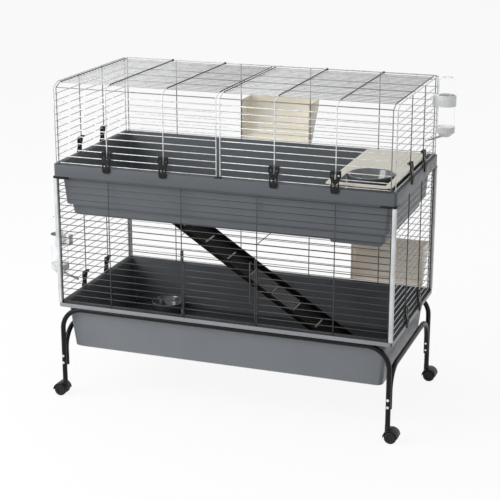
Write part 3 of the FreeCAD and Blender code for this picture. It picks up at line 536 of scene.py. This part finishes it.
def castorWheels(corner):  # both wheels and their axle in one turned outline
    node = "castor_wheels_" + corner
    low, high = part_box(node)
    r = (high.z - low.z) / 2
    half = (high.y - low.y) / 2
    gap, inner = castorSpec["gap"], castorSpec["innerEdge"]
    soft, dish = castorSpec["tyreRound"], castorSpec["hubInset"]
    hubFlat, hubEdge = castorSpec["hub"]
    outline = [(0, -half + dish), (r * hubFlat, -half + dish), (r * hubEdge, -half), (r - soft, -half)]
    for turn in castorSpec["tyreTurns"]:
        outline.append((r - soft + soft * math.sin(turn), -half + soft - soft * math.cos(turn)))
    outline += [(r, -gap - inner), (r - inner, -gap), (castorSpec["axle"], -gap)]
    outline += [(a, -b) for a, b in reversed(outline)]
    piece = spun(node + ".pair", outline, (0, 0, 0), castorSpec["steps"])
    holdOnly(piece)
    piece.rotation_euler = (math.pi / 2, 0, 0)  # laid on its axle
    fixPlace()
    piece.location = (low + high) / 2
    settle(piece, finishes["wheel"], node, castorSpec["smooth"])


for corner in ("front_left", "front_right", "rear_left", "rear_right"):
    dressed("castor_frame_" + corner, castorSpec["edge"], finishes["castor"])
    castorWheels(corner)
    dressed("corner_post_" + corner, postSpec["edge"], finishes["post"])
dressed("post_caps", postSpec["capEdge"], finishes["cap"])
print("castors and posts done")


# wirework

wireSpec = {"round": 0.00042, "roundSteps": 1, "smooth": 70, "endX": 0.560, "endY": 0.272, "topZ": 1.085}
# wires along x, along y and upright, then the outermost ones where they differ; each grey is a lit or
# shaded copy of the one plated wire, as painted light on the lighter wires and painted shade on the darker
# ones
wireFinish = {
    "door_front_grille_left": ("frontWireLit", "frontWireLit", "frontWireLit", "cornerWireShaded"),
    "door_front_grille_right": ("frontWireLit", "frontWireLit", "frontWireLit", "cornerWireShaded"),
    "door_roof_grille_left": ("roofWireLit", "roofCrossWireShaded", "roofCrossWireShaded"),
    "door_roof_grille_right": ("roofWireLit", "roofCrossWireShaded", "roofCrossWireShaded"),
    "upper_rear_grille": ("rearWireLit", "rearWireLit", "uprightWireShaded"),
    "upper_left_grille": ("sideWireLit", "sideWireLit", "uprightWireShaded", "cornerWireShaded"),
    "upper_right_grille": ("sideWireLit", "sideWireLit", "uprightWireShaded", "cornerWireShaded"),
    "lower_front_grille": ("lowerWireShaded", "lowerWireShaded", "lowerWireShaded"),
    "lower_door_grille": ("lowerWireShaded", "lowerWireShaded", "lowerWireShaded"),
    "lower_door_latch": ("lowerWireShaded", "lowerWireShaded", "lowerWireShaded"),
    "lower_rear_grille": ("lowerBackWireLit", "lowerBackWireLit", "lowerWireShaded"),
    "lower_left_grille": ("lowerBackWireLit", "lowerBackWireLit", "lowerWireShaded"),
    "lower_right_grille": ("lowerBackWireLit", "lowerBackWireLit", "lowerWireShaded"),
    "tray_support_wires": ("lowerWireShaded", "lowerWireShaded", "lowerWireShaded"),
}
alongX, upright, outerWire = 0, 2, 3  # places in a panel's list of finishes


def wires(mesh):  # the separate wires of a panel, each as a list of faces
    left = set(mesh.faces)
    for face in mesh.faces:
        if face not in left:
            continue
        left.discard(face)
        wire = [face]
        for near in wire:
            for other in (joined for edge in near.edges for joined in edge.link_faces):
                if other in left:
                    left.discard(other)
                    wire.append(other)
        yield wire


def outermost(node, kind, point):  # end uprights, and the top wire of a lift-up door
    if node.startswith("door"):
        isTop = kind == alongX and point.z > wireSpec["topZ"]
        return isTop or kind == upright and abs(point.x) > wireSpec["endX"]
    return kind == upright and abs(point.y) > wireSpec["endY"]


def panel(node):
    kinds = wireFinish[node]
    coats = [finishes[kind] for kind in kinds]
    piece = dressed(node, wireSpec["round"], coats, wireSpec["roundSteps"], wireSpec["smooth"])
    mesh = bmesh.new()
    mesh.from_mesh(piece.data)
    for wire in wires(mesh):
        points = [vert.co for face in wire for vert in face.verts]
        sizes = [max(point[k] for point in points) - min(point[k] for point in points) for k in range(3)]
        kind = sizes.index(max(sizes))
        if outerWire < len(kinds) and outermost(node, kind, points[0]):
            kind = outerWire
        for face in wire:
            face.material_index = kind
    mesh.to_mesh(piece.data)
    mesh.free()


for node in wireFinish:
    panel(node)
print("wirework done")


# clips

clipSpec = {
    "edge": 0.0009, "windowDrop": 0.046, "windowTall": 0.020, "windowWide": 0.008, "windowTip": 0.0015,
    "cutDepth": 0.08,
}
clipNodes = ["front_clip_%s_%s" % (side, spot) for side in ("left", "right") for spot in ("inner", "outer")]
clipNodes += ["%s_%s_clip_%s" % (storey, side, spot) for storey in ("upper", "lower")
              for side in ("left", "right") for spot in ("front", "rear")]


def windows(piece, node):  # two three-cornered windows with a cross of ribs between them
    low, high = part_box(node)
    middle = Vector(((low.x + high.x) / 2, (low.y + high.y) / 2, high.z - clipSpec["windowDrop"]))
    along = Vector((1, 0, 0)) if node.startswith("front") else Vector((0, 1, 0))
    up = Vector((0, 0, 1))
    wide = clipSpec["windowWide"]
    for side in (-1, 1):
        inwards = along * -side
        dropAll()
        bpy.ops.mesh.primitive_cylinder_add(vertices=3, radius=1, depth=clipSpec["cutDepth"])
        cutter = named("clipWindow")
        base = up * clipSpec["windowTall"] / math.sqrt(3)  # a unit triangle is root 3 wide and 1.5 tall
        tip = inwards * wide / 1.5
        turned = Matrix((base, tip, up.cross(inwards))).transposed().to_4x4()
        spot = middle - inwards * (clipSpec["windowTip"] + wide * 2 / 3)
        cutter.matrix_world = Matrix.Translation(spot) @ turned
        fixPlace()
        window = piece.modifiers.new("window", "BOOLEAN")
        window.operation = "DIFFERENCE"
        window.solver = "EXACT"
        window.object = cutter
        applyAll(piece)
        holdOnly(cutter)
        bpy.ops.object.delete()


for node in clipNodes:
    dressed(node, clipSpec["edge"], finishes["clip"], cut=windows)


# door feet

doorFootSpec = {
    "wire": 0.0016, "wide": 0.0100, "deep": 0.0110, "tall": 0.0036,
    "taper": 0.0022, "crown": 0.0007, "edge": 0.0006,
}


def doorFoot(side):  # small foot on the lower end of a lift-up door's inner upright
    node = "door_front_grille_" + side
    low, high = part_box(node)
    wire, tall = doorFootSpec["wire"], doorFootSpec["tall"]
    x = high.x - wire if side == "left" else low.x + wire
    dropAll()
    bpy.ops.mesh.primitive_cube_add(size=1, location=(x, low.y + wire, low.z + tall / 2))
    piece = named("door_foot_" + side)
    piece.scale = (doorFootSpec["wide"], doorFootSpec["deep"], tall)
    fixPlace()
    openMesh(piece)
    pickFaces(piece, facesUp)
    bpy.ops.mesh.inset(thickness=doorFootSpec["taper"])
    bpy.ops.transform.translate(value=(0, 0, doorFootSpec["crown"]))
    closeMesh()
    softEdges(piece, doorFootSpec["edge"])
    finished(piece, finishes["clip"], node)


doorFoot("left")
doorFoot("right")
print("clips and door feet done")


# ramp

rampSpec = {
    "edge": 0.0016, "treadEdge": 0.0008, "earEdge": 0.0010, "hinge": (-0.306, 0, 0.641), "tilt": 33.36,
    "gripRuns": ((0.394, 0.476), (0.490, 0.572)), "gripWidth": 0.104,
    "ribPitch": 0.0062, "ribLength": 0.0034, "ribHeight": 0.0010, "ribEdge": 0.0003, "ribSmooth": 30,
}


def ribRow(start, end):  # one rib with a tapered top, repeated along the deck
    dropAll()
    bpy.ops.mesh.primitive_cube_add(size=1, location=(start, 0, rampSpec["ribHeight"] / 2))
    rib = named("ramp_grip.run")
    rib.scale = (rampSpec["ribLength"], rampSpec["gripWidth"], rampSpec["ribHeight"])
    fixPlace()
    openMesh(rib)
    pickFaces(rib, facesUp)
    bpy.ops.mesh.inset(thickness=rampSpec["ribEdge"])
    bpy.ops.transform.translate(value=(0, 0, rampSpec["ribEdge"]))
    closeMesh()
    row = rib.modifiers.new("row", "ARRAY")
    row.use_relative_offset = False
    row.use_constant_offset = True
    row.constant_offset_displace = (rampSpec["ribPitch"], 0, 0)
    row.count = int((end - start) / rampSpec["ribPitch"]) + 1
    applyAll(rib)
    return rib


def gripRibs():  # low ribs across the lower deck, made level and tilted on the hinge
    rows = [ribRow(start, end) for start, end in rampSpec["gripRuns"]]
    dropAll()
    for row in rows:
        row.select_set(True)
    bpy.context.view_layer.objects.active = rows[0]
    bpy.ops.object.join()
    piece = named("ramp_grip.ribs")
    piece.rotation_euler = (0, math.radians(rampSpec["tilt"]), 0)
    piece.location = rampSpec["hinge"]
    finished(piece, finishes["grip"], "ramp", rampSpec["ribSmooth"])


dressed("ramp", rampSpec["edge"], finishes["ramp"])
# the treads carry a painted highlight in their grey finish
dressed("ramp_treads", rampSpec["treadEdge"], finishes["tread"])
dressed("ramp_ears", rampSpec["earEdge"], finishes["cap"])
gripRibs()
print("ramp done")


# shelter, bowls and hay racks

shelterSpec = {"edge": 0.0022, "edgeSteps": 3, "rackEdge": 0.0012}
bowlSpec = {
    "wall": 0.003, "rim": 0.006, "swell": 0.0004, "roll": 0.0022, "rollTurns": (0.6, 1.2, 1.9, 2.6),
    "foot": 0.78, "footRing": (0.86, 0.9), "footRise": 0.0012, "footEdge": 0.001, "cove": (0.005, 0.004),
    "steps": 64, "smooth": 40,
}


def bowl(node):
    low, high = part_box(node)
    r = (high.x - low.x) / 2
    tall = high.z - low.z
    wall, roll, rise, rim = (bowlSpec[key] for key in ("wall", "roll", "footRise", "rim"))
    foot, edge = r * bowlSpec["foot"], bowlSpec["footEdge"]
    ringIn, ringOut = bowlSpec["footRing"]
    coveX, coveZ = bowlSpec["cove"]
    outline = [(0, rise), (foot * ringIn, rise), (foot * ringOut, 0), (foot - edge, 0), (foot, edge)]
    outline += [(r - bowlSpec["swell"], tall - rim), (r, tall - roll)]
    for turn in bowlSpec["rollTurns"]:
        outline.append((r - roll + roll * math.cos(turn), tall - roll + roll * math.sin(turn)))
    outline += [(r - 2 * wall, tall - rim), (foot - wall, wall + coveZ)]
    outline += [(foot - wall - coveX, wall), (0, wall)]
    centre = ((low.x + high.x) / 2, (low.y + high.y) / 2, low.z)
    piece = spun(node + ".turned", outline, centre, bowlSpec["steps"])
    settle(piece, finishes["bowl"], node, bowlSpec["smooth"])


dressed("shelter", shelterSpec["edge"], finishes["shelter"], shelterSpec["edgeSteps"])
bowl("shelter_bowl")
bowl("floor_bowl")
dressed("upper_hay_rack", shelterSpec["rackEdge"], finishes["upperRack"])
# the lower rack's finish is the rack beige with painted light
dressed("lower_hay_rack", shelterSpec["rackEdge"], finishes["lowerRackLit"])
print("shelter, bowls and racks done")


# bottles

bottleSpec = {
    # the crown is given by shares of the radius and drops from the top
    "crown": ((0, 0.004), (0.45, 0.004), (0.6, 0), (0.72, 0.0008), (0.9, 0.006), (1, 0.016)),
    "crownTall": 0.01, "wall": 0.0012, "steps": 56, "smooth": 40, "bracketEdge": 0.0010,
    "rings": 3, "ringTop": 0.62, "ringPitch": 0.06, "ringDepth": 0.0011, "ringHalf": 0.004,
}
bottleCapSpec = {
    "skirt": 0.020, "tall": 0.034, "flutes": 48, "fluteDepth": 0.0008, "nose": 0.5,
    "edge": 0.0006, "edgeSteps": 2, "edgeAngle": 40, "smooth": 40,
}
spoutSpec = {
    "radius": 0.004, "sides": 24, "reach": 0.060, "drop": 0.020, "lip": 0.0012, "bore": 0.006,
    "edge": 0.0003, "edgeSteps": 2, "edgeAngle": 40, "smooth": 50,
}


def bottle(storey):
    node = storey + "_bottle"
    low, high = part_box(node)
    r = (high.x - low.x) / 2
    tall = high.z - low.z
    wall, half, depth = bottleSpec["wall"], bottleSpec["ringHalf"], bottleSpec["ringDepth"]
    outer = [(r * share, tall - drop) for share, drop in bottleSpec["crown"]]
    for k in range(bottleSpec["rings"]):  # shallow grip rings
        z = tall * (bottleSpec["ringTop"] - bottleSpec["ringPitch"] * k)
        outer += [(r, z + half), (r - depth, z + half / 2), (r - depth, z - half / 2), (r, z - half)]
    outer += [(r, 0.0)]
    crown = tall - bottleSpec["crownTall"]
    inner = [(max(0.0, a - wall), b - (wall if b > crown else 0)) for a, b in reversed(outer)]
    centre = ((low.x + high.x) / 2, (low.y + high.y) / 2, low.z)
    piece = spun(node + ".clear", outer + inner, centre, bottleSpec["steps"])
    settle(piece, finishes["bottle"], node, bottleSpec["smooth"])


def bottleCap(storey):
    node = storey + "_bottle_cap"
    low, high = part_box(node)
    bottleLow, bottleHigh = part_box(storey + "_bottle")
    x, y = (bottleLow.x + bottleHigh.x) / 2, (bottleLow.y + bottleHigh.y) / 2
    r = (high.y - low.y) / 2
    skirt, flute, count = (bottleCapSpec[key] for key in ("skirt", "fluteDepth", "flutes"))
    foot = high.z - bottleCapSpec["tall"]
    centre = (x, y, high.z - skirt / 2)
    dropAll()
    bpy.ops.mesh.primitive_cylinder_add(vertices=count, radius=r - flute, depth=skirt, location=centre)
    piece = named(node + ".ribbed")
    fixPlace()
    openMesh(piece)
    sideNumber = lambda middle: round(math.atan2(middle.y - y, middle.x - x) / (math.tau / count) - 0.5)
    isFlute = lambda middle, normal: abs(normal.z) < meshSpec["sideways"] and sideNumber(middle) % 2 == 0
    isNose = lambda middle, normal: normal.z < -meshSpec["facing"] and abs(middle.x - x) < meshSpec["near"]
    pickFaces(piece, isFlute)
    bpy.ops.mesh.extrude_faces_move(TRANSFORM_OT_shrink_fatten={"value": flute})
    pickFaces(piece, isNose)
    bpy.ops.mesh.extrude_region_move(TRANSFORM_OT_translate={"value": (0, 0, foot - (high.z - skirt))})
    nose = bottleCapSpec["nose"]
    bpy.ops.transform.resize(value=(nose, nose, 1), center_override=(x, y, foot))
    closeMesh()
    softEdges(piece, bottleCapSpec["edge"], bottleCapSpec["edgeSteps"], bottleCapSpec["edgeAngle"])
    settle(piece, finishes["bottleCap"], node, bottleCapSpec["smooth"])
    spout(storey, Vector((x, y, foot)), low.x if x > 0 else high.x, node)


def spout(storey, capFoot, endX, node):  # steel tube from the cap's nose into the cage
    r = spoutSpec["radius"]
    slope = Vector((math.copysign(spoutSpec["reach"], -capFoot.x), 0, -spoutSpec["drop"])).normalized()
    start = capFoot + Vector((0, 0, r))
    length = (abs(endX - start.x) - r * abs(slope.z)) / abs(slope.x)
    centre = start + slope * length / 2
    turn = slope.to_track_quat("Z", "Y").to_euler()
    dropAll()
    bpy.ops.mesh.primitive_cylinder_add(vertices=spoutSpec["sides"], radius=r, depth=length,
                                        location=centre, rotation=turn)
    piece = named(storey + "_spout")
    fixPlace()
    openMesh(piece)
    pickFaces(piece, lambda middle, normal: normal.dot(slope) > meshSpec["facing"])
    bpy.ops.mesh.inset(thickness=spoutSpec["lip"])
    bpy.ops.mesh.extrude_region_move(TRANSFORM_OT_translate={"value": -slope * spoutSpec["bore"]})
    closeMesh()
    softEdges(piece, spoutSpec["edge"], spoutSpec["edgeSteps"], spoutSpec["edgeAngle"])
    finished(piece, finishes["spout"], node, spoutSpec["smooth"])


for storey in ("upper", "lower"):
    bottle(storey)
    bottleCap(storey)
    dressed(storey + "_bottle_bracket", bottleSpec["bracketEdge"], finishes["bracket"])
print("bottles done")


# floor, light and camera

studio = {
    "floor": 60.0, "floorColour": 0.93, "floorRough": 0.9, "floorGlow": 1.0, "floorShare": 0.90,
    "backdrop": 0.957, "skyFill": 0.42, "aim": (0, 0, 0.6),
    # place, size and power of each lamp
    "key": ((-3.1, -2.7, 2.7), 2.8, 146.0),
    "fill": ((3.6, -2.2, 2.6), 2.6, 3.0),
    "top": ((-0.5, 0.2, 4.6), 3.0, 58.0),
}
viewSpec = {
    "place": (1.5465, -4.2859, 1.8987), "pitch": -0.296, "yaw": 0.345,
    "lens": 99.02, "sensor": 36, "farClip": 200,
}


def eyeRay(tree):  # 1 for what the camera sees, straight, mirrored or through glass
    path = tree.nodes.new("ShaderNodeLightPath")
    seen = path.outputs["Is Camera Ray"]
    for ray in ("Is Glossy Ray", "Is Transmission Ray"):
        either = tree.nodes.new("ShaderNodeMath")
        either.operation = "MAXIMUM"
        tree.links.new(seen, either.inputs[0])
        tree.links.new(path.outputs[ray], either.inputs[1])
        seen = either.outputs["Value"]
    return seen


dropAll()
bpy.ops.mesh.primitive_plane_add(size=studio["floor"], location=(0, 0, 0))
floor = named("studioFloor")
floor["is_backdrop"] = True
floorFinish, floorTree, floorShader = newFinish("paleFloor")
floorShader.inputs["Roughness"].default_value = studio["floorRough"]
floorShader.inputs["Base Color"].default_value = (studio["floorColour"],) * 3 + (1,)
glow = floorTree.nodes.new("ShaderNodeEmission")
glow.inputs["Color"].default_value = (studio["floorGlow"],) * 3 + (1,)
blend = floorTree.nodes.new("ShaderNodeMixShader")  # what the glow leaves keeps the shadow
floorTree.links.new(between(floorTree, eyeRay(floorTree), 0.0, studio["floorShare"]), blend.inputs["Fac"])
floorTree.links.new(floorShader.outputs["BSDF"], blend.inputs[1])
floorTree.links.new(glow.outputs["Emission"], blend.inputs[2])
floorTree.links.new(blend.outputs["Shader"], floorTree.nodes["Material Output"].inputs["Surface"])
floor.data.materials.append(floorFinish)

world = bpy.data.worlds.new("studioSky")
bpy.context.scene.world = world
world.use_nodes = True
sky = world.node_tree
sky.nodes["Background"].inputs["Color"].default_value = (1, 1, 1, 1)
skyLevel = between(sky, eyeRay(sky), studio["skyFill"], studio["backdrop"])
sky.links.new(skyLevel, sky.nodes["Background"].inputs["Strength"])

for name in ("key", "fill", "top"):
    spot, size, power = studio[name]
    bpy.ops.object.light_add(type="AREA", location=spot)
    lamp = bpy.context.object
    lamp.name = name + "Light"
    lamp.data.size = size
    lamp.data.energy = power
    lamp.rotation_euler = (Vector(studio["aim"]) - Vector(spot)).to_track_quat("-Z", "Y").to_euler()

bpy.ops.object.camera_add(location=viewSpec["place"])
camera = bpy.context.object
camera.name = "photoView"
camera.rotation_euler = (math.pi / 2 + viewSpec["pitch"], 0, viewSpec["yaw"])
camera.data.lens = viewSpec["lens"]
camera.data.sensor_width = viewSpec["sensor"]
camera.data.clip_end = viewSpec["farClip"]
bpy.context.scene.camera = camera
bpy.context.scene.view_settings.view_transform = "Standard"
print("studio done")

plain = lambda box: [[float(value) for value in corner] for corner in box]
{"cad": plain(cadBox), "visual": plain(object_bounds())}
